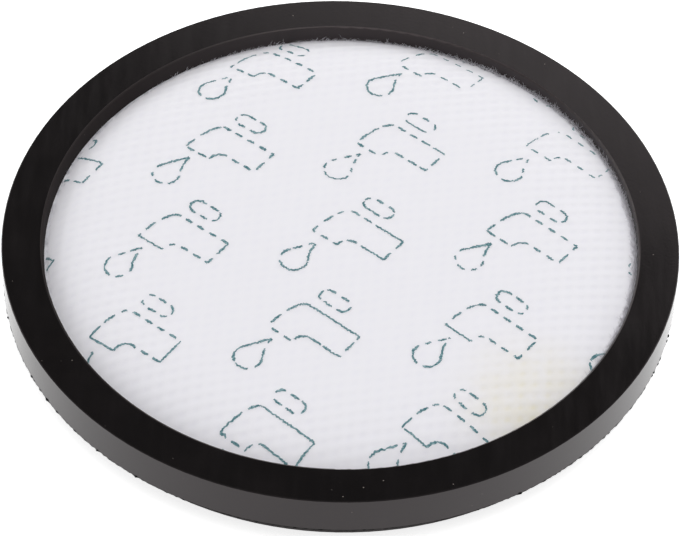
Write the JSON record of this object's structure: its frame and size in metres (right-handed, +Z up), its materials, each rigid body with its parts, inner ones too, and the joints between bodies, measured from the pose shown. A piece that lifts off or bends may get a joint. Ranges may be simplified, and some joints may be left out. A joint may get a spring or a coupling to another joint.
{
  "type": "vacuum cleaner filter",
  "caption": "Round washable vacuum cleaner filter: a crowned white felt pad cast into a stepped black polyurethane ring that drops into a round filter seat and seals on its flange.",
  "frame": {"origin": "centre of the underside, in the plane of the spigot's foot", "axes": "+Z up along the filter's axis towards the printed face of the pad, +X to the right and -Y towards the viewer in the picture"},
  "size_m": [0.15, 0.15, 0.0189],
  "materials": {
    "cast_polyurethane": "smooth cast skin, satin",
    "needled_felt": "net-faced felt, matt"
  },
  "bodies": {
    "root": {"moulded_ring": "cast_polyurethane", "filter_pad": "needled_felt"}
  },
  "joints": []
}
